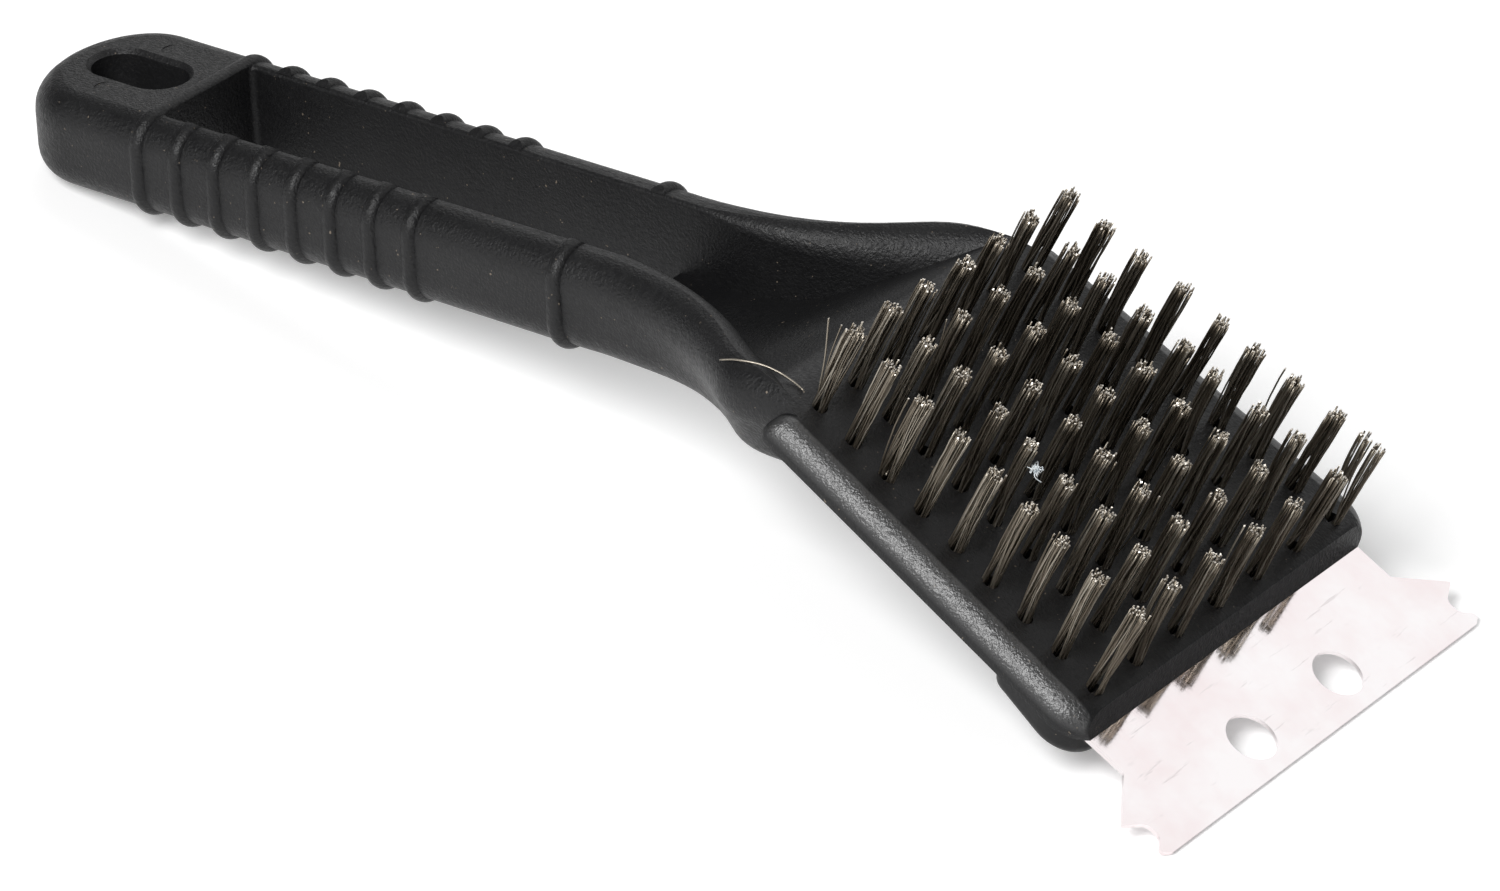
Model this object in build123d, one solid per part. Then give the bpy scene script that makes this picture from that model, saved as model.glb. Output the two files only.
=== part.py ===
from build123d import *
import os
from math import asin, atan2, cos, degrees, hypot, radians, sin, sqrt, tan

# Grill cleaning brush: a one-piece loop handle and head, wire tufts folded round staples in a grid
# of blind holes, and a notched scraper blade clamped under the front of the head by a screwed bar.
#
# Head frame: origin on the flat bristle face at the middle of the tuft grid, +X towards the blade,
# +Z the way the bristles point. Handle frame: X along the handle from its tip to the head, Z up,
# tilted against the head frame. The finished brush is turned so that it lies on its back the way it
# does on a table: handle tip and blade edge touch the ground at Z = 0. Millimetres and degrees.

# ---- tufts -------------------------------------------------------------------------------------
ROWS = 9
TUFTS_PER_ROW = 7
ROW_PITCH = 8.5
TUFT_PITCH = 10.9             # across, in the middle row
TUFT_FAN = 0.00224            # growth of that pitch towards the blade, per mm along X
TUFT_HEIGHT = 19.3
TUFT_HOLE_RADIUS = 1.4
TUFT_HOLE_DEPTH = 4.0
TUFT_LEG_OFFSET = 0.76        # each tuft stands as two legs, folded under its staple
TUFT_LEG_HALF_X = 0.5
TUFT_LEG_HALF_Y = 1.05
TUFT_TIP_OFFSET = 0.62
TUFT_TIP_HALF_X = 0.75
TUFT_TIP_HALF_Y = 1.55
TUFT_LEAN_X = -0.8            # drift of the tips
TUFT_LEAN_Y = -0.4
TUFT_FOLD_Z = -3.6            # lowest wire in the hole
TUFT_FOLD_WIDTH = 1.26
STAPLE_LENGTH = 3.4           # wider than the hole: its ends bite into the moulding
STAPLE_WIDTH = 0.4
STAPLE_TOP_Z = -1.4
STAPLE_LOW_Z = -2.6

# ---- head --------------------------------------------------------------------------------------
HEAD_THICKNESS = 5.1
HEAD_REAR_X = -38.0
HEAD_FRONT_X = 37.3           # top edge of the front face
HEAD_REAR_HALF = 40.35
HEAD_SIDE_FAN = 0.050         # half-width gained per mm towards the blade
HEAD_LIP_RADIUS = 4.4
HEAD_FRONT_TRIM = 3.0         # the lip runs round the front corners before the front is cut off flat
HEAD_FRONT_CORNER = 8.0
HEAD_REAR_CORNER = 2.5

# ---- clamp bar, screws and blade ------------------------------------------------------------------
BAR_REAR_X = 17.0
BAR_REAR_THICKNESS = 2.2
BAR_SLOPE = 0.15              # it grows thicker towards the blade
BAR_INSET = 0.25
BAR_SETBACK = 1.0             # of its front face behind the head's
BAR_EDGE_RADIUS = 1.8
BAR_CORNER = 7.5
BAR_REAR_CORNER = 3.0
FIT_GAP = 0.03

BLADE_THICKNESS = 0.8
BLADE_TANG_X = 24.0
BLADE_TANG_HALF = 39.8
BLADE_TANG_CORNER = 1.0
BLADE_FLARE_X = 47.1
BLADE_FLARE_CORNER = 0.5
BLADE_EAR_X = 54.1
BLADE_EAR_HALF = 49.2
BLADE_EAR_CORNER = 0.3
BLADE_NOTCH_X = 56.5          # the scalloped notch behind each front tooth
BLADE_NOTCH_HALF = 44.9
BLADE_NOTCH_LENGTH = 2.8
BLADE_NOTCH_CORNERS = (1.8, 1.5)
BLADE_TOOTH_X = 61.6
BLADE_TOOTH_HALF = 47.9
BLADE_TOOTH_CORNER = 0.8
BLADE_FRONT_X = 62.9
BLADE_FRONT_HALF = 45.6
BLADE_FRONT_CORNER = 1.2
BLADE_HOLE_X = 55.2
BLADE_HOLE_Y = 12.9
BLADE_HOLE_RADIUS = 4.75

SCREW_X = 29.75
SCREW_YS = (-28.0, 0.0, 28.0)
SCREW_SHANK_RADIUS = 1.4
SCREW_HEAD_RADIUS = 2.8
SCREW_HEAD_HEIGHT = 1.4
SCREW_HEAD_CHAMFER = 0.4
SCREW_SEAT_Z = -7.1           # underside of the screw head
SCREW_TOP_Z = -1.4
SCREW_RECESS_LENGTH = 3.2
SCREW_RECESS_WIDTH = 0.7
SCREW_RECESS_DEPTH = 0.7
SCREW_CLEARANCE = 0.15
SCREW_TIP_GAP = 0.05

# ---- handle ------------------------------------------------------------------------------------
HANDLE_TILT = 29.4
HANDLE_TIP_X = -204.03        # origin of the handle frame, in the head frame
HANDLE_TIP_Z = -101.12
HANDLE_HALF_WIDTH = 18.8
HANDLE_HALF_HEIGHT = 9.4
HANDLE_EDGE_RADIUS = 6.0
NOSE_START = 0.9
NOSE_END = 16.0               # the elliptic nose meets the straight bar here
HANDLE_BAR_END = 132.0

LOOP_START = 36.1
LOOP_START_HALF = 12.1
LOOP_WAIST_HALF = 10.4
LOOP_FLARE_X = 159.6
LOOP_FLARE_ANGLE = 31.0
LOOP_FLARE_RADIUS = 60.0
LOOP_END = 205.0
LOOP_CORNER = 1.2
LOOP_EDGE_RADIUS = 0.9        # along the straight rails; rolls over more and more in the flare
ROLL_START = 141.0
ROLL_END = 178.0
ROLL_RADIUS = 7.5
ROLL_MARGIN = 2.0             # how far the rounding tool reaches past the edge it rounds
ROLL_STATIONS = (141, 146, 151, 156, 161, 166, 171, 176, 182, 190, 198, 206)

FLOOR_START = 135.0
FLOOR_TOP_Z = -4.9
FLOOR_CORNER = 1.0
RAMP_CORNER_X = 161.2
RAMP_ANGLE = 23.6
RAMP_RADIUS = 37.0
RAMP_CREST_RADIUS = 8.0
CREST_RADIUS = 12.0

# neck outline above and below: where the flare starts, its two radii and final half-width
NECK_TOP = dict(start=136.5, base=18.8, concave=52.0, convex=16.0, end_half=39.1)
NECK_BOTTOM = dict(start=153.5, base=18.3, concave=38.0, convex=16.0, end_half=30.4)
NECK_STEEPEST = 40.0
NECK_STATIONS = (132, 138, 144, 150, 156, 162, 167, 171, 175, 179, 183, 187, 192, 198, 205, 212)

RIB_STATIONS = [34.54 + 9.085 * k for k in range(8)] + [130.8]
RIB_HEIGHT = 1.0
RIB_FOOT = 3.2
RIB_ROUNDNESS = 0.98          # share of the half-round section that is truly round
RIB_END_GAP = 0.35            # between rib end and loop opening
RIB_END_SLOPE = 1.3

HANG_SLOT_X = 19.6
HANG_SLOT_LENGTH = 20.4
HANG_SLOT_WIDTH = 11.0
HANG_SLOT_RIM = 0.9

EJECTOR_X = 19.7              # crescent marks left by two tilted ejector pins
EJECTOR_Y = 9.3
EJECTOR_RADIUS = 2.3
EJECTOR_TILT = 5.0
EJECTOR_DEPTH = 0.12

SKIM = 0.02                   # planes top and underside of bar and neck to one level

FAR = 80.0                    # generous reach of cutting tools


def rounded_face(corners):
    """Flat face through (x, y, radius) corners, each corner rounded by its own radius."""
    arcs = []
    count = len(corners)
    for i, (x, y, r) in enumerate(corners):
        here = Vector(x, y)
        back = (Vector(*corners[i - 1][:2]) - here).normalized()
        ahead = (Vector(*corners[(i + 1) % count][:2]) - here).normalized()
        half = radians(back.get_angle(ahead)) / 2
        bisector = (back + ahead).normalized()
        reach = r / tan(half)
        middle = here + bisector * (r / sin(half) - r)
        arcs.append((here + back * reach, middle, here + ahead * reach, r))
    edges = []
    for i, (start, middle, end, r) in enumerate(arcs):
        if r > 0:
            edges.append(Edge.make_three_point_arc(start, middle, end))
        following = arcs[(i + 1) % count][0]
        if (following - end).length > 1e-6:
            edges.append(Edge.make_line(end, following))
    return Face(Wire(edges))


def mirrored(corners):
    """Outline corners given for +Y, continued back along -Y."""
    return corners + [(x, -y, r) for x, y, r in reversed(corners)]


def prism(face, low, high):
    """Solid between two heights over a face drawn on the XY plane."""
    return extrude(Pos(0, 0, low) * face, high - low, dir=(0, 0, 1))


def side_prism(face, half):
    """Solid reaching half a width to both sides of a profile drawn as (x, z)."""
    standing = Plane.XZ.location * face
    return extrude(standing, half, dir=(0, 1, 0), both=True)


HANDLE_PLANE = Plane(
    origin=(HANDLE_TIP_X, 0, HANDLE_TIP_Z),
    x_dir=(cos(radians(HANDLE_TILT)), 0, sin(radians(HANDLE_TILT))),
    z_dir=(-sin(radians(HANDLE_TILT)), 0, cos(radians(HANDLE_TILT))),
)


def head_plane_height(x):
    """Height of the bristle face above the handle's middle plane, in the handle frame."""
    t = radians(HANDLE_TILT)
    return (-HANDLE_TIP_Z - x * sin(t)) / cos(t)


# ---- handle ------------------------------------------------------------------------------------
def flare_half(x, start, base, concave, convex, end_half):
    """Half-width of the neck: straight, concave arc, convex arc, straight."""
    angle = min(radians(NECK_STEEPEST), 2 * asin(sqrt((end_half - base) / (concave + convex) / 2)))
    concave_end = start + concave * sin(angle)
    concave_rise = concave * (1 - cos(angle))
    convex_rise = convex * (1 - cos(angle))
    slope_rise = end_half - base - concave_rise - convex_rise
    convex_start = concave_end + slope_rise / tan(angle)
    convex_end = convex_start + convex * sin(angle)
    if x <= start:
        return base
    if x <= concave_end:
        return base + concave - sqrt(concave**2 - (x - start) ** 2)
    if x <= convex_start:
        return base + concave_rise + (x - concave_end) * tan(angle)
    if x <= convex_end:
        return end_half - convex + sqrt(convex**2 - (convex_end - x) ** 2)
    return end_half


def neck_section(x):
    """Cross-section of the neck at x: a trapezoid with rounded corners."""
    top = flare_half(x, **NECK_TOP)
    bottom = flare_half(x, **NECK_BOTTOM)
    h = HANDLE_HALF_HEIGHT
    r = HANDLE_EDGE_RADIUS
    face = rounded_face([(top, h, r), (-top, h, r), (-bottom, -h, r), (bottom, -h, r)])
    return Plane(origin=(x, 0, 0), x_dir=(0, 1, 0), z_dir=(1, 0, 0)).location * face


def handle_bar():
    """Straight bar with an elliptic nose; all long edges rounded."""
    w = HANDLE_HALF_WIDTH
    nose = Edge.make_ellipse(
        x_radius=NOSE_END - NOSE_START, y_radius=w,
        plane=Plane(origin=(NOSE_END, 0, 0)), start_angle=90, end_angle=270,
    )
    outline = Wire([
        nose,
        Edge.make_line((NOSE_END, -w), (HANDLE_BAR_END, -w)),
        Edge.make_line((HANDLE_BAR_END, -w), (HANDLE_BAR_END, w)),
        Edge.make_line((HANDLE_BAR_END, w), (NOSE_END, w)),
    ])
    bar = prism(Face(outline), -HANDLE_HALF_HEIGHT, HANDLE_HALF_HEIGHT)
    rims = [
        e for e in bar.edges()
        if abs(abs(e.center().Z) - HANDLE_HALF_HEIGHT) < 0.01 and e.center().X < HANDLE_BAR_END - 1
    ]
    return fillet(rims, HANDLE_EDGE_RADIUS)


def neck():
    """Neck that widens from the bar to the head."""
    return loft([neck_section(x) for x in NECK_STATIONS])


def above_crest():
    """Everything above the bristle face, with a softly rounded crest towards the handle's top."""
    top = HANDLE_HALF_HEIGHT
    tilt = radians(HANDLE_TILT)
    crest_x = (-HANDLE_TIP_Z - top * cos(tilt)) / sin(tilt)
    start = crest_x - CREST_RADIUS * tan(tilt / 2)
    above = rounded_face([
        (start - 0.01, top, 0),
        (crest_x, top, CREST_RADIUS),
        (crest_x + FAR * cos(tilt), top - FAR * sin(tilt), 0),
        (crest_x + FAR * cos(tilt), top + FAR, 0),
        (start - 0.01, top + FAR, 0),
    ])
    return side_prism(above, FAR)


def loop_opening():
    """Space between the rails, seen from above, as an endless prism."""
    flare_half_end = LOOP_WAIST_HALF + (LOOP_END - LOOP_FLARE_X) * tan(radians(LOOP_FLARE_ANGLE))
    corners = mirrored([
        (LOOP_START, LOOP_START_HALF, LOOP_CORNER),
        (LOOP_FLARE_X, LOOP_WAIST_HALF, LOOP_FLARE_RADIUS),
        (LOOP_END, flare_half_end, 0),
    ])
    return prism(rounded_face(corners), -FAR, FAR)


def loop_half(x):
    """Half-width of the loop opening at x."""
    taper = (LOOP_START_HALF - LOOP_WAIST_HALF) / (LOOP_FLARE_X - LOOP_START)
    angle = radians(LOOP_FLARE_ANGLE)
    reach = LOOP_FLARE_RADIUS * tan((angle + taper) / 2)
    arc_start = LOOP_FLARE_X - reach
    arc_end = LOOP_FLARE_X + reach * cos(angle)
    if x >= arc_end:
        return LOOP_WAIST_HALF + (x - LOOP_FLARE_X) * tan(angle)
    straight = LOOP_WAIST_HALF + (LOOP_FLARE_X - x) * taper
    if x <= arc_start:
        return straight
    run = x - arc_start
    return straight + LOOP_FLARE_RADIUS - sqrt(LOOP_FLARE_RADIUS**2 - run**2)


def roll_section(x):
    """Section of the opening in the flare, its upper edge rolled over by a growing radius."""
    share = min(max((x - ROLL_START) / (ROLL_END - ROLL_START), 0), 1)
    radius = LOOP_EDGE_RADIUS + share * (ROLL_RADIUS - LOOP_EDGE_RADIUS)
    wall = loop_half(x) + SKIM
    brow = wall + radius + ROLL_MARGIN
    face = rounded_face(mirrored([
        (-FAR, wall, 0),
        (HANDLE_HALF_HEIGHT, wall, radius),
        (HANDLE_HALF_HEIGHT, brow, 0),
        (HANDLE_HALF_HEIGHT + ROLL_MARGIN, brow, 0),
    ]))
    return Plane(origin=(x, 0, 0), x_dir=(0, 0, 1), z_dir=(-1, 0, 0)).location * face


def rolled_flare():
    """Flared end of the opening with the broad rounding of its upper edges."""
    return loft([roll_section(x) for x in ROLL_STATIONS])


def above_floor():
    """Everything above the floor and ramp that close the loop at the head."""
    slope = radians(RAMP_ANGLE)
    tilt = radians(HANDLE_TILT)
    base = head_plane_height(0)
    crest_x = (base - FLOOR_TOP_Z + RAMP_CORNER_X * tan(slope)) / (tan(slope) + tan(tilt))
    crest_z = head_plane_height(crest_x)
    profile = rounded_face([
        (0, -FAR, 0),
        (FLOOR_START, -FAR, 0),
        (FLOOR_START, FLOOR_TOP_Z, FLOOR_CORNER),
        (RAMP_CORNER_X, FLOOR_TOP_Z, RAMP_RADIUS),
        (crest_x, crest_z, RAMP_CREST_RADIUS),
        (crest_x + FAR * cos(tilt), crest_z - FAR * sin(tilt), 0),
        (crest_x + FAR * cos(tilt), FAR, 0),
        (0, FAR, 0),
    ])
    return side_prism(profile, FAR)


def rib_trimmer():
    """Opening between the rails with flanks that slope outwards, which shape the ends of the ribs."""
    def quad(z, grow):
        corners = mirrored([
            (LOOP_START, LOOP_START_HALF + grow, 0),
            (LOOP_FLARE_X, LOOP_WAIST_HALF + grow, 0),
        ])
        return Pos(0, 0, z) * rounded_face(corners)

    level = HANDLE_HALF_HEIGHT - SKIM
    flare = RIB_HEIGHT + 2 * SKIM
    tool = prism(quad(0, RIB_END_GAP), -FAR, FAR)
    for side in (1, -1):
        low = quad(side * level, RIB_END_GAP)
        high = quad(side * (level + flare), RIB_END_GAP + flare * RIB_END_SLOPE)
        tool = tool + loft([low, high], ruled=True)
    return tool


def rib(x):
    """Half-round hoop over the outside of the bar."""
    radius = (RIB_HEIGHT**2 + (RIB_FOOT / 2) ** 2) / (2 * RIB_HEIGHT)
    corner = HANDLE_EDGE_RADIUS + RIB_HEIGHT
    half_width = HANDLE_HALF_WIDTH + RIB_HEIGHT
    half_height = HANDLE_HALF_HEIGHT + RIB_HEIGHT
    face = rounded_face([
        (half_width, half_height, corner),
        (-half_width, half_height, corner),
        (-half_width, -half_height, corner),
        (half_width, -half_height, corner),
    ])
    hoop = Plane(origin=(x - radius, 0, 0), x_dir=(0, 1, 0), z_dir=(1, 0, 0)).location * face
    hoop = extrude(hoop, 2 * radius, dir=(1, 0, 0))
    rims = hoop.edges().filter_by(lambda e: abs(e.center().X - x) > radius / 2)
    return fillet(rims, radius * RIB_ROUNDNESS)


def ejector_mark(side):
    """Disc that dips under the top face along one edge only and leaves a crescent."""
    disc = Cylinder(EJECTOR_RADIUS, 2.0, align=(Align.CENTER, Align.CENTER, Align.MIN))
    lift = EJECTOR_RADIUS * sin(radians(EJECTOR_TILT)) - EJECTOR_DEPTH
    return Pos(EJECTOR_X, side * EJECTOR_Y, HANDLE_HALF_HEIGHT - SKIM + lift) * Rot(0, -EJECTOR_TILT, 0) * disc


def hanging_slot():
    """Rounded slot through the nose of the handle with a softened rim."""
    slot = SlotOverall(HANG_SLOT_LENGTH, HANG_SLOT_WIDTH)
    rim = SlotOverall(HANG_SLOT_LENGTH + 2 * HANG_SLOT_RIM, HANG_SLOT_WIDTH + 2 * HANG_SLOT_RIM)
    tool = extrude(slot, FAR, both=True)
    for side in (1, -1):
        level = side * HANDLE_HALF_HEIGHT
        flare = loft([Pos(0, 0, level) * rim.face(), Pos(0, 0, level - side * HANG_SLOT_RIM) * slot.face()])
        tool = tool + flare
    return Pos(HANG_SLOT_X, 0, 0) * tool


def handle():
    """Handle with neck, ribs, loop opening and hanging slot, in the handle frame."""
    body = handle_bar() + neck()
    skimmed = HANDLE_HALF_HEIGHT - SKIM
    body = body & Box(4 * FAR + 200, 4 * FAR, 2 * skimmed)
    opening = loop_opening()
    body = body - (opening & above_floor())
    inner_edges = [
        e for e in body.edges()
        if abs(e.center().Z - skimmed) < 0.001
        and e.center().X < LOOP_END - 1
        and opening.distance_to(e.center()) < 0.05
    ]
    body = fillet(inner_edges, LOOP_EDGE_RADIUS)
    body = body - (rolled_flare() & above_floor())
    body = body - above_crest()
    trimmer = rib_trimmer()
    for x in RIB_STATIONS:
        body = body + (rib(x) - (opening if x < LOOP_START else trimmer))
    body = body - hanging_slot()
    return body - [ejector_mark(side) for side in (1, -1)]


# ---- head --------------------------------------------------------------------------------------
def head_half(x):
    """Half-width of the head at x."""
    return HEAD_REAR_HALF + HEAD_SIDE_FAN * (x - HEAD_REAR_X)


def rest_tilt():
    """Tilt of the head, in radians, when handle tip and blade edge both touch the ground."""
    t = radians(HANDLE_TILT)
    r = HANDLE_EDGE_RADIUS
    drop = HANDLE_HALF_HEIGHT - r
    heel_x = HANDLE_TIP_X + (NOSE_START + r) * cos(t) + drop * sin(t)
    heel_z = HANDLE_TIP_Z + (NOSE_START + r) * sin(t) - drop * cos(t)
    blade_z = -HEAD_THICKNESS - FIT_GAP - BLADE_THICKNESS
    run = BLADE_FRONT_X - heel_x
    rise = blade_z - heel_z
    return asin(r / hypot(run, rise)) + atan2(rise, run)


def leaning_prism(face, low, high):
    """Prism over a face drawn at Z = 0 whose walls stand upright once the brush lies down."""
    lean = tan(rest_tilt())
    at_low = Pos(-lean * low, 0, low) * face
    return extrude(at_low, hypot(1, lean) * (high - low), dir=(-lean, 0, 1))


def head_plate():
    """Flat plate with a rounded lip along its sides and front corners; the front is cut off flat."""
    full = HEAD_FRONT_X + HEAD_FRONT_TRIM
    outline = rounded_face(mirrored([
        (HEAD_REAR_X, head_half(HEAD_REAR_X), HEAD_REAR_CORNER),
        (full, head_half(full), HEAD_FRONT_CORNER),
    ]))
    plate = prism(outline, -HEAD_THICKNESS, 0)
    lip = [
        e for e in plate.edges().filter_by(lambda e: abs(e.center().Z) < 0.01)
        if e.center().X > HEAD_REAR_X + 1
    ]
    plate = fillet(lip, HEAD_LIP_RADIUS)
    front = Pos(HEAD_FRONT_X - FAR, 0, 0) * Rectangle(2 * FAR, 2 * FAR)
    return plate & leaning_prism(front.face(), -HEAD_THICKNESS - 1, 1)


def tuft_spots(row):
    """Tuft centres of one row; the grid fans out slightly towards the blade."""
    x = (row - (ROWS - 1) / 2) * ROW_PITCH
    pitch = TUFT_PITCH * (1 + TUFT_FAN * x)
    return [(x, (k - (TUFTS_PER_ROW - 1) / 2) * pitch) for k in range(TUFTS_PER_ROW)]


def all_spots():
    return [spot for row in range(ROWS) for spot in tuft_spots(row)]


def staple(x, y):
    """Flat metal anchor standing across the hole, ends bitten into the moulding."""
    middle = (STAPLE_TOP_Z + STAPLE_LOW_Z) / 2
    return Pos(x, y, middle) * Box(STAPLE_WIDTH, STAPLE_LENGTH, STAPLE_TOP_Z - STAPLE_LOW_Z)


def tuft(x, y):
    """Bundle of wires folded double under its staple: two legs that widen to the tip."""
    foot = TUFT_FOLD_Z + TUFT_LEG_HALF_X
    legs = []
    for side in (1, -1):
        low = Pos(side * TUFT_LEG_OFFSET, 0, foot) * Ellipse(TUFT_LEG_HALF_X, TUFT_LEG_HALF_Y)
        rim = Pos(side * TUFT_LEG_OFFSET, 0, 0) * Ellipse(TUFT_LEG_HALF_X, TUFT_LEG_HALF_Y)
        tip = Ellipse(TUFT_TIP_HALF_X, TUFT_TIP_HALF_Y)
        tip = Pos(TUFT_LEAN_X + side * TUFT_TIP_OFFSET, TUFT_LEAN_Y, TUFT_HEIGHT) * tip
        legs.append(loft([low.face(), rim.face()]) + loft([rim.face(), tip.face()]))
    fold = Pos(0, 0, foot) * Box(2 * TUFT_LEG_OFFSET, TUFT_FOLD_WIDTH, 2 * TUFT_LEG_HALF_X)
    return Pos(x, y, 0) * (legs[0] + legs[1] + fold)


# ---- blade, clamp bar, screws --------------------------------------------------------------------
def scraper_blade():
    """Flat steel blade with flared ears, scalloped notches, front teeth and two round holes."""
    outline = rounded_face(mirrored([
        (BLADE_TANG_X, BLADE_TANG_HALF, BLADE_TANG_CORNER),
        (BLADE_FLARE_X, BLADE_TANG_HALF, BLADE_FLARE_CORNER),
        (BLADE_EAR_X, BLADE_EAR_HALF, BLADE_EAR_CORNER),
        (BLADE_NOTCH_X, BLADE_NOTCH_HALF, BLADE_NOTCH_CORNERS[0]),
        (BLADE_NOTCH_X + BLADE_NOTCH_LENGTH, BLADE_NOTCH_HALF, BLADE_NOTCH_CORNERS[1]),
        (BLADE_TOOTH_X, BLADE_TOOTH_HALF, BLADE_TOOTH_CORNER),
        (BLADE_FRONT_X, BLADE_FRONT_HALF, BLADE_FRONT_CORNER),
    ]))
    top = -HEAD_THICKNESS - FIT_GAP
    blade = prism(outline, top - BLADE_THICKNESS, top)
    cutter = Cylinder(BLADE_HOLE_RADIUS, FAR)
    blade = blade - [Pos(BLADE_HOLE_X, side * BLADE_HOLE_Y, 0) * cutter for side in (1, -1)]
    return blade - screw_holes()


def screw_holes():
    """Clearance holes for the three screws."""
    hole = Cylinder(SCREW_SHANK_RADIUS + SCREW_CLEARANCE, FAR)
    return [Pos(SCREW_X, y, 0) * hole for y in SCREW_YS]


def bar_bottom(x):
    """Height of the clamp bar's sloping underside."""
    return -HEAD_THICKNESS - BAR_REAR_THICKNESS - BAR_SLOPE * (x - BAR_REAR_X)


def clamp_bar():
    """Wedge-shaped bar screwed under the front of the head, pocketed for the blade's tang."""
    outline = rounded_face(mirrored([
        (BAR_REAR_X, head_half(BAR_REAR_X) - BAR_INSET, BAR_REAR_CORNER),
        (HEAD_FRONT_X - BAR_SETBACK, head_half(HEAD_FRONT_X) - BAR_INSET, BAR_CORNER),
    ]))
    bar = leaning_prism(outline, -2 * HEAD_THICKNESS - BAR_CORNER, -HEAD_THICKNESS)
    behind = BAR_REAR_X - FAR
    ahead = HEAD_FRONT_X + FAR
    wedge = rounded_face([
        (behind, bar_bottom(behind), 0),
        (ahead, bar_bottom(ahead), 0),
        (ahead, 0, 0),
        (behind, 0, 0),
    ])
    bar = bar & side_prism(wedge, FAR)
    underside = bar.faces().sort_by(Axis.Z)[0]
    bar = fillet(underside.edges(), BAR_EDGE_RADIUS)
    pocket_depth = BLADE_THICKNESS + 2 * FIT_GAP
    pocket_width = 2 * (BLADE_TANG_HALF + 4 * FIT_GAP)
    pocket = Box(FAR, pocket_width, pocket_depth, align=(Align.MIN, Align.CENTER, Align.MAX))
    bar = bar - Pos(BLADE_TANG_X - FIT_GAP, 0, -HEAD_THICKNESS) * pocket
    well = Cylinder(SCREW_HEAD_RADIUS + SCREW_CLEARANCE, FAR, align=(Align.CENTER, Align.CENTER, Align.MAX))
    bar = bar - [Pos(SCREW_X, y, SCREW_SEAT_Z) * well for y in SCREW_YS]
    return bar - screw_holes()


def clamp_screw(y):
    """Pan-head screw with a cross recess, driven from below into the head."""
    up = (Align.CENTER, Align.CENTER, Align.MIN)
    head = Cylinder(SCREW_HEAD_RADIUS, SCREW_HEAD_HEIGHT, align=up)
    head = chamfer(head.edges().group_by(Axis.Z)[0], SCREW_HEAD_CHAMFER)
    shank = Cylinder(SCREW_SHANK_RADIUS, SCREW_TOP_Z - SCREW_SEAT_Z, align=up)
    slot = Box(SCREW_RECESS_LENGTH, SCREW_RECESS_WIDTH, 2 * SCREW_RECESS_DEPTH)
    screw = head + Pos(0, 0, SCREW_HEAD_HEIGHT) * shank - slot - Rot(0, 0, 90) * slot
    return Pos(SCREW_X, y, SCREW_SEAT_Z - SCREW_HEAD_HEIGHT) * screw


# ---- assembly ------------------------------------------------------------------------------------
def brush_body():
    """One-piece moulding: loop handle, neck and drilled head."""
    body = HANDLE_PLANE.location * handle() + head_plate()
    hole = Cylinder(TUFT_HOLE_RADIUS, 2 * TUFT_HOLE_DEPTH)
    body = body - [Pos(x, y, 0) * hole for x, y in all_spots()]
    body = body - [staple(x, y) for x, y in all_spots()]
    pilot_top = SCREW_TOP_Z + SCREW_TIP_GAP
    pilot = Cylinder(SCREW_SHANK_RADIUS, pilot_top + HEAD_THICKNESS, align=(Align.CENTER, Align.CENTER, Align.MAX))
    return body - [Pos(SCREW_X, y, pilot_top) * pilot for y in SCREW_YS]


def build_nodes():
    """Every separate piece by name, in the head frame."""
    nodes = {
        "brush_body": [brush_body()],
        "blade_clamp_bar": [clamp_bar()],
        "clamp_screws": [clamp_screw(y) for y in SCREW_YS],
        "scraper_blade": [scraper_blade()],
    }
    for row in range(ROWS):
        nodes[f"bristle_row_{row + 1}"] = [tuft(x, y) for x, y in tuft_spots(row)]
        nodes[f"staple_row_{row + 1}"] = [staple(x, y) for x, y in tuft_spots(row)]
    return nodes


def main():
    os.makedirs("parts", exist_ok=True)
    turned = Rot(0, degrees(rest_tilt()), 0)
    nodes = {name: turned * Compound(pieces) for name, pieces in build_nodes().items()}
    box = Compound(list(nodes.values())).bounding_box()
    placed = Pos(-box.center().X, 0, -box.min.Z)
    for name, shape in nodes.items():
        export_step(placed * shape, f"parts/{name}.step")


if __name__ == "__main__":
    main()
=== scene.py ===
import random
from math import cos, pi, radians, sin, sqrt, tan

import bmesh
import bpy
from mathutils import Matrix, Vector

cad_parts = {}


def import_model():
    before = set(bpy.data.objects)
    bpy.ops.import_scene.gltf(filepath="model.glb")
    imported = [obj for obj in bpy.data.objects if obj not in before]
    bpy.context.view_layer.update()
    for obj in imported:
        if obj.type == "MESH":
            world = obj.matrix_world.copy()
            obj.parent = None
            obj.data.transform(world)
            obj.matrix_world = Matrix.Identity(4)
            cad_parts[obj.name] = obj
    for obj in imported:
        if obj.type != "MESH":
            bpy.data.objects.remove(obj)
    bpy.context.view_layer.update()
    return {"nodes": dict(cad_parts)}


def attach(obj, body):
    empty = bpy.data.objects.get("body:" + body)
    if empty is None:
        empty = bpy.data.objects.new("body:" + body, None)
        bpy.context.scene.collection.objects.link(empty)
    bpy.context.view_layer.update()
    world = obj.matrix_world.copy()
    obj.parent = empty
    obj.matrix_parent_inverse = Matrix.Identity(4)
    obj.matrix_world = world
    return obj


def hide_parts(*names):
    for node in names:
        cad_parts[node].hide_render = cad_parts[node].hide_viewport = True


# Grill cleaning brush, lying on its back with handle tip and blade edge on the ground.
# Blender works in metres in the row frame. Sizes of the brush below are millimetres, times MM.

MM = 0.001
SEED = 20611

# ---- the head: where its own frame (bristle face, X to the blade, Z along the wires) stands -------
HEAD_TILT = radians(21.3247)
HEAD_ORIGIN = Vector((84.876, 0.0, 28.398)) * MM

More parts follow.
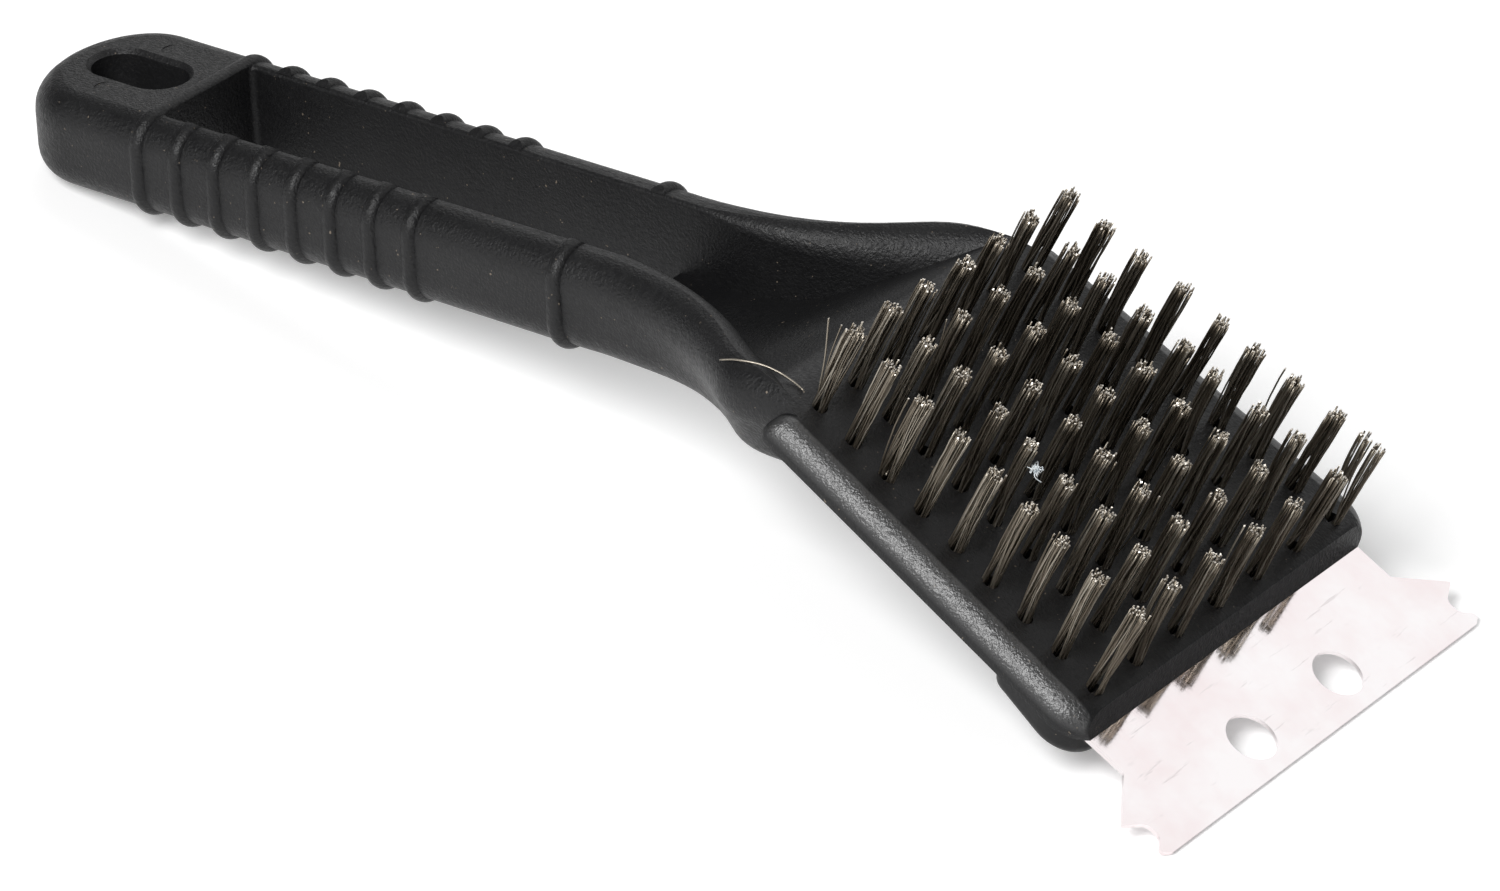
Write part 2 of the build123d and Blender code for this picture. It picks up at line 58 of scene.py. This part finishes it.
# ---- tuft grid, as in the holes of the moulding ---------------------------------------------------
ROWS = 9
TUFTS_PER_ROW = 7
ROW_PITCH = 8.5
TUFT_PITCH = 10.9
TUFT_FAN = 0.00224
TUFT_HEIGHT = 19.2
WIRE_FOOT_Z = -2.4
WIRES_PER_LEG = 20
WIRE_RADIUS = 0.17
WIRE_SIDES = 6
WIRE_RINGS = 10
LEG_OFFSET = 1.02             # the two legs of a tuft stand apart at the hole ...
LEG_HALF = (0.55, 1.15)
TIP_OFFSET = 0.5              # ... and close up to one brush at the tip
TIP_HALF = (1.2, 1.65)
TUFT_LEAN = (-0.75, -0.45)
TUFT_LEAN_SPREAD = 0.3

# ---- single wires: how each one differs from its neighbours ------------------------------------------
CLOSING_POWER = 1.7           # above 1, the legs close up early
CRIMP_WAVES = 3.1             # waves of crimp along a wire
CRIMP_HEIGHTS = (0.02, 0.07)
BOW_SPREAD = 0.1
TIP_HEIGHT_SPREAD = 0.22
TIP_SLANT = 0.8
RADIUS_SHARES = (0.9, 1.08)
STRAY_REACH = 2.2             # a wire that strays from its tuft ends up to this far aside ...
STRAY_DROP = 0.8              # ... and up to this much lower

# ---- finish of the plastic: glossier, coarser grain on the lip along the sides of the head ---------
PLASTIC_SPECULAR = 0.32
LIP_SPECULAR = 1.4
LIP_ROUGHNESS = 0.43
LIP_GRAIN = 1.0
HEAD_SIDE_FAN = 0.050
HEAD_FRONT_X = 37.3
LIP_START_Y = 37.8
LIP_FADE = 0.5
LIP_REAR_X = -37.6
LIP_REAR_FADE = 1.0
LIP_LOW_Z = -3.8              # no gloss below this; it grows over LIP_LOW_FADE above it
LIP_LOW_FADE = 2.0
LIP_FRONT_GAP = 0.15

# ---- camera: the photograph's viewing angle ---------------------------------------------------------
CAMERA_AIM = Vector((21.33, -3.97, 6.10)) * MM
CAMERA_AZIMUTH = radians(-55.142)
CAMERA_ELEVATION = radians(32.882)
CAMERA_DISTANCE = 1397.68 * MM
CAMERA_ROLL = radians(4.980)
CAMERA_LENS = 192.39


def head_matrix():
    """Head frame to row frame."""
    return Matrix.Translation(HEAD_ORIGIN) @ Matrix.Rotation(HEAD_TILT, 4, "Y")


# ---- materials --------------------------------------------------------------------------------------
def new_material(name):
    material = bpy.data.materials.new(name)
    material.use_nodes = True
    nodes = material.node_tree.nodes
    links = material.node_tree.links
    shader = nodes["Principled BSDF"]
    return material, nodes, links, shader


def add_noise(nodes, links, scale, detail=2.0, roughness=0.5, stretch=(1, 1, 1)):
    """Noise texture in object coordinates; returns its factor socket."""
    place = nodes.new("ShaderNodeTexCoord")
    mapping = nodes.new("ShaderNodeMapping")
    mapping.inputs["Scale"].default_value = stretch
    noise = nodes.new("ShaderNodeTexNoise")
    noise.inputs["Scale"].default_value = scale
    noise.inputs["Detail"].default_value = detail
    noise.inputs["Roughness"].default_value = roughness
    links.new(place.outputs["Object"], mapping.inputs["Vector"])
    links.new(mapping.outputs["Vector"], noise.inputs["Vector"])
    return noise.outputs["Fac"]


def add_ramp(nodes, links, factor, stops):
    """Colour ramp over a factor; stops are (position, value or colour)."""
    ramp = nodes.new("ShaderNodeValToRGB")
    elements = ramp.color_ramp.elements
    while len(elements) < len(stops):
        elements.new(0.5)
    for element, (position, colour) in zip(elements, stops):
        if not isinstance(colour, tuple):
            colour = (colour, colour, colour)
        element.position = position
        element.color = (*colour, 1.0)
    links.new(factor, ramp.inputs["Fac"])
    return ramp.outputs["Color"]


def add_bump(nodes, links, shader, height, strength, distance):
    bump = nodes.new("ShaderNodeBump")
    bump.inputs["Strength"].default_value = strength
    bump.inputs["Distance"].default_value = distance
    links.new(height, bump.inputs["Height"])
    links.new(bump.outputs["Normal"], shader.inputs["Normal"])
    return bump


def add_math(nodes, links, operation, first, second=None):
    """Math node; sockets are linked, numbers are set."""
    node = nodes.new("ShaderNodeMath")
    node.operation = operation
    for slot, value in zip(node.inputs, (first, second)):
        if value is None:
            continue
        if isinstance(value, (int, float)):
            slot.default_value = value
        else:
            links.new(value, slot)
    return node.outputs["Value"]


def mix_values(nodes, links, factor, low, high):
    """Value that runs from low to high with the factor; both may be sockets or numbers."""
    span = add_math(nodes, links, "SUBTRACT", high, low)
    return add_math(nodes, links, "ADD", add_math(nodes, links, "MULTIPLY", span, factor), low)


def lip_mask(nodes, links):
    """1 on the upper part of the coarsely grained rounding along the head's sides, 0 elsewhere."""
    place = nodes.new("ShaderNodeTexCoord")
    to_head = nodes.new("ShaderNodeMapping")
    to_head.vector_type = "TEXTURE"
    to_head.inputs["Location"].default_value = HEAD_ORIGIN
    to_head.inputs["Rotation"].default_value = (0, HEAD_TILT, 0)
    parts = nodes.new("ShaderNodeSeparateXYZ")
    links.new(place.outputs["Object"], to_head.inputs["Vector"])
    links.new(to_head.outputs["Vector"], parts.inputs["Vector"])
    across = add_math(nodes, links, "ABSOLUTE", parts.outputs["Y"])
    fan = add_math(nodes, links, "MULTIPLY", parts.outputs["X"], HEAD_SIDE_FAN)
    inside = add_math(nodes, links, "SUBTRACT", across, fan)
    beyond = add_math(nodes, links, "SUBTRACT", inside, LIP_START_Y * MM)
    side = add_math(nodes, links, "MULTIPLY", beyond, 1 / (LIP_FADE * MM))
    side.node.use_clamp = True
    from_rear = add_math(nodes, links, "SUBTRACT", parts.outputs["X"], LIP_REAR_X * MM)
    along = add_math(nodes, links, "MULTIPLY", from_rear, 1 / (LIP_REAR_FADE * MM))
    along.node.use_clamp = True
    lean = add_math(nodes, links, "MULTIPLY", parts.outputs["Z"], tan(HEAD_TILT))
    depth = add_math(nodes, links, "ADD", parts.outputs["X"], lean)
    behind_front = add_math(nodes, links, "SUBTRACT", (HEAD_FRONT_X - LIP_FRONT_GAP) * MM, depth)
    front = add_math(nodes, links, "MULTIPLY", behind_front, 1 / (LIP_FADE * MM))
    front.node.use_clamp = True
    above_low = add_math(nodes, links, "SUBTRACT", parts.outputs["Z"], LIP_LOW_Z * MM)
    upper = add_math(nodes, links, "MULTIPLY", above_low, 1 / (LIP_LOW_FADE * MM))
    upper.node.use_clamp = True
    ends = add_math(nodes, links, "MULTIPLY", along, front)
    return add_math(nodes, links, "MULTIPLY", add_math(nodes, links, "MULTIPLY", side, upper), ends)


def black_plastic(name, grain_strength, with_lip):
    """Moulded black plastic: spark-eroded grain, uneven sheen and a few specks of dust."""
    material, nodes, links, shader = new_material(name)
    patches = add_ramp(nodes, links, add_noise(nodes, links, 60.0, 3.0), [
        (0.3, (0.0055, 0.0055, 0.006)),
        (0.7, (0.009, 0.009, 0.0095)),
    ])
    specks = add_ramp(nodes, links, add_noise(nodes, links, 1300.0, 1.0), [(0.76, 0.0), (0.80, 1.0)])
    mix = nodes.new("ShaderNodeMix")
    mix.data_type = "RGBA"
    links.new(specks, mix.inputs["Factor"])
    links.new(patches, mix.inputs["A"])
    mix.inputs["B"].default_value = (0.16, 0.13, 0.10, 1)
    links.new(mix.outputs["Result"], shader.inputs["Base Color"])
    sheen = add_ramp(nodes, links, add_noise(nodes, links, 900.0, 3.0), [(0.3, 0.38), (0.7, 0.54)])
    grain = add_noise(nodes, links, 1700.0, 2.0, 0.6)
    shader.inputs["Specular IOR Level"].default_value = PLASTIC_SPECULAR
    links.new(sheen, shader.inputs["Roughness"])
    bump = add_bump(nodes, links, shader, grain, grain_strength, 0.25 * MM)
    if with_lip:
        lip = lip_mask(nodes, links)
        specular = mix_values(nodes, links, lip, PLASTIC_SPECULAR, LIP_SPECULAR)
        links.new(specular, shader.inputs["Specular IOR Level"])
        links.new(mix_values(nodes, links, lip, sheen, LIP_ROUGHNESS), shader.inputs["Roughness"])
        links.new(mix_values(nodes, links, lip, grain_strength, LIP_GRAIN), bump.inputs["Strength"])
    return material


def blade_steel():
    """Bright rolled stainless sheet: rolling lines, faint rosy stains, small scratches."""
    material, nodes, links, shader = new_material("blade_steel")
    shader.inputs["Metallic"].default_value = 1.0
    stains = add_ramp(nodes, links, add_noise(nodes, links, 55.0, 4.0, 0.6), [
        (0.35, (0.86, 0.83, 0.835)),
        (0.62, (0.82, 0.74, 0.745)),
    ])
    scratches = add_ramp(
        nodes, links,
        add_noise(nodes, links, 300.0, 4.0, 0.7, stretch=(3.0, 0.25, 1.0)),
        [(0.62, 0.0), (0.72, 0.45)],
    )
    mix = nodes.new("ShaderNodeMix")
    mix.data_type = "RGBA"
    links.new(scratches, mix.inputs["Factor"])
    links.new(stains, mix.inputs["A"])
    mix.inputs["B"].default_value = (0.55, 0.50, 0.50, 1)
    links.new(mix.outputs["Result"], shader.inputs["Base Color"])
    lines = add_noise(nodes, links, 220.0, 3.0, 0.6, stretch=(0.06, 12.0, 1.0))
    links.new(add_ramp(nodes, links, lines, [(0.3, 0.04), (0.7, 0.10)]), shader.inputs["Roughness"])
    add_bump(nodes, links, shader, lines, 0.1, 0.01 * MM)
    return material


def wire_steel():
    """Dull drawn wire with bright cut ends; mesh attributes hold each wire's tone and mark the ends."""
    material, nodes, links, shader = new_material("bristle_wire")
    shader.inputs["Metallic"].default_value = 0.9
    tone = nodes.new("ShaderNodeAttribute")
    tone.attribute_name = "wire_tone"
    drawn = add_ramp(nodes, links, tone.outputs["Fac"], [
        (0.0, (0.115, 0.095, 0.072)),
        (0.6, (0.22, 0.19, 0.15)),
        (1.0, (0.38, 0.345, 0.29)),
    ])
    end = nodes.new("ShaderNodeAttribute")
    end.attribute_name = "wire_end"
    mix = nodes.new("ShaderNodeMix")
    mix.data_type = "RGBA"
    links.new(end.outputs["Fac"], mix.inputs["Factor"])
    links.new(drawn, mix.inputs["A"])
    mix.inputs["B"].default_value = (0.95, 0.89, 0.80, 1)
    links.new(mix.outputs["Result"], shader.inputs["Base Color"])
    rough = add_ramp(nodes, links, add_noise(nodes, links, 1500.0), [(0.3, 0.30), (0.7, 0.45)])
    links.new(rough, shader.inputs["Roughness"])
    return material


def plain_steel(name, low, high):
    """Small steel parts: staples and screws."""
    material, nodes, links, shader = new_material(name)
    shader.inputs["Metallic"].default_value = 1.0
    colour = add_ramp(nodes, links, add_noise(nodes, links, 700.0), [(0.3, low), (0.7, high)])
    links.new(colour, shader.inputs["Base Color"])
    shader.inputs["Roughness"].default_value = 0.35
    return material


# ---- wires -------------------------------------------------------------------------------------------
def tuft_spots(row):
    """Tuft centres of one row in the head frame, millimetres, from the near side to the far side."""
    x = (row - (ROWS - 1) / 2) * ROW_PITCH
    pitch = TUFT_PITCH * (1 + TUFT_FAN * x)
    return [(x, (k - (TUFTS_PER_ROW - 1) / 2) * pitch) for k in range(TUFTS_PER_ROW)]


def add_tube(bm, layers, points, radius, tone, tip_slant, sides=WIRE_SIDES):
    """Round wire through points, with flat, slanted cut ends."""
    tone_layer, end_layer = layers
    rings = []
    count = len(points)
    side_axis = None
    for i, point in enumerate(points):
        along = (points[min(i + 1, count - 1)] - points[max(i - 1, 0)]).normalized()
        if side_axis is None:
            side_axis = along.orthogonal().normalized()
        side_axis = (side_axis - along * side_axis.dot(along)).normalized()
        other = along.cross(side_axis)
        ring = []
        for k in range(sides):
            a = 2 * pi * k / sides
            offset = side_axis * (cos(a) * radius) + other * (sin(a) * radius)
            slide = 0.0
            if i == count - 1:
                slide = tip_slant.dot(offset)
            vertex = bm.verts.new(point + offset + along * slide)
            vertex[tone_layer] = tone
            ring.append(vertex)
        rings.append(ring)
    for low, high in zip(rings, rings[1:]):
        for k in range(sides):
            face = bm.faces.new((low[k], low[(k + 1) % sides], high[(k + 1) % sides], high[k]))
            face.smooth = True
    for ring in (list(reversed(rings[0])), rings[-1]):
        cap = bm.faces.new(ring)
        cap[end_layer] = 1.0


def disc_point(rng, half_x, half_y):
    """Even random point in an ellipse."""
    a = rng.uniform(0, 2 * pi)
    r = sqrt(rng.uniform(0, 1))
    return Vector((half_x * r * cos(a), half_y * r * sin(a), 0))


def wire_path(rng, foot, tip, bow, crimp):
    """Slightly crimped line from the hole to the tip; it closes in on the tip's line early on."""
    phase = rng.uniform(0, 2 * pi)
    heading = rng.uniform(0, 2 * pi)
    sway = Vector((cos(heading), sin(heading), 0))
    points = []
    for i in range(WIRE_RINGS):
        t = i / (WIRE_RINGS - 1)
        closing = 1 - (1 - t) ** CLOSING_POWER
        wave = crimp * sin(phase + 2 * pi * t * CRIMP_WAVES)
        point = foot + (tip - foot) * closing
        point.z = foot.z + (tip.z - foot.z) * t
        points.append(point + sway * wave + bow * (4 * t * (1 - t)))
    return points


def add_tuft(bm, layers, rng, x, y, manner):
    """One bundle: two legs out of one hole that close up to a brush of wire ends."""
    lean_x = rng.gauss(TUFT_LEAN[0], TUFT_LEAN_SPREAD)
    lean_y = rng.gauss(TUFT_LEAN[1], TUFT_LEAN_SPREAD)
    lean = Vector((lean_x, lean_y, 0))
    for side in (-1, 1):
        for _ in range(WIRES_PER_LEG):
            foot = Vector((x + side * LEG_OFFSET, y, WIRE_FOOT_Z)) + disc_point(rng, *LEG_HALF)
            tip = Vector((x + side * TIP_OFFSET, y, TUFT_HEIGHT)) + lean + disc_point(rng, *TIP_HALF)
            tip += disc_point(rng, manner["splay"], manner["splay"])
            tip.x += side * manner["split"]
            tip.z += rng.gauss(0, TIP_HEIGHT_SPREAD)
            if rng.random() < manner["stray_share"]:
                tip += disc_point(rng, STRAY_REACH, STRAY_REACH)
                tip.z -= rng.uniform(0.0, STRAY_DROP)
            bow = Vector((rng.gauss(0, BOW_SPREAD), rng.gauss(0, BOW_SPREAD), 0))
            points = wire_path(rng, foot, tip, bow, rng.uniform(*CRIMP_HEIGHTS))
            slant = Vector((rng.uniform(-TIP_SLANT, TIP_SLANT), rng.uniform(-TIP_SLANT, TIP_SLANT), 0))
            radius = WIRE_RADIUS * rng.uniform(*RADIUS_SHARES)
            add_tube(bm, layers, points, radius, rng.random(), slant)


def tuft_manner(row, k):
    """How tidy a tuft is; a few stand out."""
    manner = {"splay": 0.12, "split": 0.0, "stray_share": 0.015}
    if (row, k) == (0, 0):
        manner.update(splay=0.5, stray_share=0.12)
    if (row, k) == (ROWS - 1, TUFTS_PER_ROW - 1):
        manner.update(split=1.05, splay=0.1)
    if row == 6 and k == TUFTS_PER_ROW - 1:
        manner.update(stray_share=0.12)
    return manner


def mesh_object(name, bm, material):
    """Turns a mesh drawn in millimetres in the head frame into an object that rides on the brush."""
    mesh = bpy.data.meshes.new(name)
    bm.transform(head_matrix() @ Matrix.Scale(MM, 4))
    bm.normal_update()
    bm.to_mesh(mesh)
    bm.free()
    mesh.materials.append(material)
    piece = bpy.data.objects.new(name, mesh)
    bpy.context.scene.collection.objects.link(piece)
    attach(piece, "root")
    return piece


def build_wires(material):
    """One piece per row of tufts, in place of the row's CAD solids."""
    for row in range(ROWS):
        rng = random.Random(SEED + row)
        bm = bmesh.new()
        layers = (bm.verts.layers.float.new("wire_tone"), bm.faces.layers.float.new("wire_end"))
        for k, (x, y) in enumerate(tuft_spots(row)):
            add_tuft(bm, layers, rng, x, y, tuft_manner(row, k))
        piece = mesh_object(f"wires_row_{row + 1}", bm, material)
        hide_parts(f"bristle_row_{row + 1}")


# ---- loose bits ----------------------------------------------------------------------------------------
STRAYS = [
    # points in the head frame, millimetres; radius; tone
    ([(-34.8, -30.6, 0.5), (-37.0, -31.4, 10.0), (-39.6, -32.2, 18.3)], 0.16, 0.75),
    ([(-34.6, -30.4, 0.5), (-36.4, -31.2, 10.5), (-37.3, -31.4, 18.4)], 0.14, 0.55),
    ([(-33.4, -30.1, 8.0), (-34.0, -30.25, 15.0), (-34.7, -30.45, 21.2)], 0.20, 1.0),
    ([(-24.0, -19.2, 12.0), (-24.8, -19.6, 20.0), (-25.7, -19.85, 24.7)], 0.12, 0.5),
    ([(-17.3, -31.9, 0.3), (-18.0, -30.2, 1.4), (-18.8, -28.3, 3.4)], 0.20, 1.0),
    ([(-53.4, -31.2, -6.9), (-50.6, -32.0, -3.6), (-46.8, -30.9, -1.6), (-43.6, -30.0, -0.9),
      (-40.4, -30.0, -0.2), (-38.0, -30.4, 0.3)], 0.17, 0.9),
]
STRAY_STEPS = 7
STRAY_SLANT = (0.3, 0.2, 0)

FLUFF_SPOT = (1.6, -21.6, 14.9)
FLUFF_SIZE = 1.1
FLUFF_THREADS = 16
FLUFF_THREAD_POINTS = 4
FLUFF_SPREAD = (0.5, 0.5, 0.45)
FLUFF_STEPS = 5
FLUFF_SIDES = 5
FLUFF_RADIUS = 0.09
FLUFF_TAIL = [(0.6, -0.6, -0.9), (1.9, 0.1, -1.5)]   # from the middle of the wisp
FLUFF_TAIL_STEPS = 6
FLUFF_TAIL_RADIUS = 0.1
FLUFF_SEED = SEED + 100
NO_SLANT = Vector((0, 0, 0))


def smooth_path(points, steps):
    """Catmull-Rom line through the points."""
    nodes = [Vector(p) for p in points]
    nodes = [nodes[0] * 2 - nodes[1]] + nodes + [nodes[-1] * 2 - nodes[-2]]
    path = []
    for a, b, c, d in zip(nodes, nodes[1:], nodes[2:], nodes[3:]):
        for i in range(steps):
            t = i / steps
            path.append(0.5 * (2 * b + (c - a) * t + (2 * a - 5 * b + 4 * c - d) * t**2
                               + (3 * b - a - 3 * c + d) * t**3))
    path.append(nodes[-2])
    return path


def build_strays(material):
    """Single wires that have worked loose from the tufts."""
    bm = bmesh.new()
    layers = (bm.verts.layers.float.new("wire_tone"), bm.faces.layers.float.new("wire_end"))
    for points, radius, tone in STRAYS:
        add_tube(bm, layers, smooth_path(points, STRAY_STEPS), radius, tone, Vector(STRAY_SLANT))
    mesh_object("stray_wires", bm, material)


def fluff_fibre():
    """Off-white lint."""
    material, nodes, links, shader = new_material("lint")
    tone = add_ramp(nodes, links, add_noise(nodes, links, 1200.0), [
        (0.3, (0.62, 0.68, 0.72)),
        (0.7, (0.86, 0.88, 0.88)),
    ])
    links.new(tone, shader.inputs["Base Color"])
    shader.inputs["Roughness"].default_value = 0.8
    return material


def build_fluff(material):
    """Small wisp of lint caught on a tuft."""
    rng = random.Random(FLUFF_SEED)
    bm = bmesh.new()
    layers = (bm.verts.layers.float.new("wire_tone"), bm.faces.layers.float.new("wire_end"))
    centre = Vector(FLUFF_SPOT)
    for _ in range(FLUFF_THREADS):
        points = []
        for _ in range(FLUFF_THREAD_POINTS):
            offset = Vector([rng.gauss(0, spread) for spread in FLUFF_SPREAD])
            points.append(centre + offset * FLUFF_SIZE)
        thread = smooth_path(points, FLUFF_STEPS)
        add_tube(bm, layers, thread, FLUFF_RADIUS, 1.0, NO_SLANT, sides=FLUFF_SIDES)
    tail = smooth_path([centre] + [centre + Vector(step) for step in FLUFF_TAIL], FLUFF_TAIL_STEPS)
    add_tube(bm, layers, tail, FLUFF_TAIL_RADIUS, 1.0, NO_SLANT, sides=FLUFF_SIDES)
    mesh_object("lint_wisp", bm, material)


# ---- studio ------------------------------------------------------------------------------------------
FLOOR_HALF = 4.0
FLOOR_DROP = 0.05 * MM        # keeps the floor clear of the brush
FLOOR_GLOW = 0.25
WORLD_GLOW = 0.08


def build_floor():
    """Plain white ground."""
    material, nodes, links, shader = new_material("studio_floor")
    shader.inputs["Base Color"].default_value = (0.9, 0.9, 0.9, 1)
    shader.inputs["Roughness"].default_value = 0.9
    shader.inputs["Emission Color"].default_value = (1, 1, 1, 1)
    shader.inputs["Emission Strength"].default_value = FLOOR_GLOW
    mesh = bpy.data.meshes.new("studio_floor")
    corners = [(x * FLOOR_HALF, y * FLOOR_HALF, 0) for x, y in ((-1, -1), (1, -1), (1, 1), (-1, 1))]
    mesh.from_pydata(corners, [], [(0, 1, 2, 3)])
    mesh.materials.append(material)
    floor = bpy.data.objects.new("studio_floor", mesh)
    floor.location.z = -FLOOR_DROP
    bpy.context.scene.collection.objects.link(floor)


def add_area_light(name, azimuth, elevation, distance, size, power):
    """Square softbox looking at the brush."""
    light = bpy.data.lights.new(name, "AREA")
    light.shape = "SQUARE"
    light.size = size
    light.energy = power
    lamp = bpy.data.objects.new(name, light)
    direction = Vector((cos(elevation) * cos(azimuth), cos(elevation) * sin(azimuth), sin(elevation)))
    lamp.location = direction * distance
    lamp.rotation_euler = direction.to_track_quat("Z", "Y").to_euler()
    bpy.context.scene.collection.objects.link(lamp)


LIGHTS = [
    # name, azimuth, elevation (degrees), distance, side (metres), radiance
    ("near_softbox", -88, 47, 1.3, 0.6, 13.0),
    ("camera_side_softbox", -66, 40, 1.5, 0.5, 5.0),
    ("far_card", 90, 46, 1.5, 1.7, 1.05),
    ("left_far_card", 133, 23, 1.6, 0.8, 1.1),
    ("near_low_card", -118, 14, 1.4, 0.6, 1.6),
]


def build_lights():
    """Softboxes and white cards round the brush, and a faint even glow."""
    world = bpy.data.worlds.new("studio_world")
    world.use_nodes = True
    background = world.node_tree.nodes["Background"]
    background.inputs["Color"].default_value = (1, 1, 1, 1)
    background.inputs["Strength"].default_value = WORLD_GLOW
    bpy.context.scene.world = world
    for name, azimuth, elevation, distance, side, radiance in LIGHTS:
        power = radiance * pi * side ** 2
        add_area_light(name, radians(azimuth), radians(elevation), distance, side, power)


def build_camera():
    """Long lens that looks down at the head from its near front corner."""
    camera = bpy.data.cameras.new("photo_camera")
    camera.lens = CAMERA_LENS
    camera.sensor_width = 36.0
    camera.sensor_fit = "HORIZONTAL"
    camera.clip_start = 0.05
    camera.clip_end = 20.0
    holder = bpy.data.objects.new("photo_camera", camera)
    away = Vector((
        cos(CAMERA_ELEVATION) * cos(CAMERA_AZIMUTH),
        cos(CAMERA_ELEVATION) * sin(CAMERA_AZIMUTH),
        sin(CAMERA_ELEVATION),
    ))
    turn = away.to_track_quat("Z", "Y").to_matrix() @ Matrix.Rotation(CAMERA_ROLL, 3, "Z")
    holder.matrix_world = Matrix.Translation(CAMERA_AIM + away * CAMERA_DISTANCE) @ turn.to_4x4()
    bpy.context.scene.collection.objects.link(holder)
    bpy.context.scene.camera = holder


def dress_cad(frame):
    """Procedural finishes for the CAD nodes that stay visible."""
    finishes = {
        "brush_body": black_plastic("black_plastic", 0.8, True),
        "blade_clamp_bar": black_plastic("black_plastic_smooth", 0.2, False),
        "scraper_blade": blade_steel(),
        "clamp_screws": plain_steel("screw_zinc", (0.5, 0.5, 0.5), (0.65, 0.65, 0.66)),
    }
    staple = plain_steel("staple_steel", (0.10, 0.095, 0.085), (0.16, 0.15, 0.14))
    for name, node in frame["nodes"].items():
        if name.startswith("bristle_row"):
            continue
        material = finishes.get(name, staple)
        for slot in node.material_slots:
            slot.material = material


def main():
    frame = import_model()
    bpy.context.scene.view_settings.view_transform = "Standard"
    dress_cad(frame)
    steel = wire_steel()
    build_wires(steel)
    build_strays(steel)
    build_fluff(fluff_fibre())
    build_floor()
    build_lights()
    build_camera()


main()
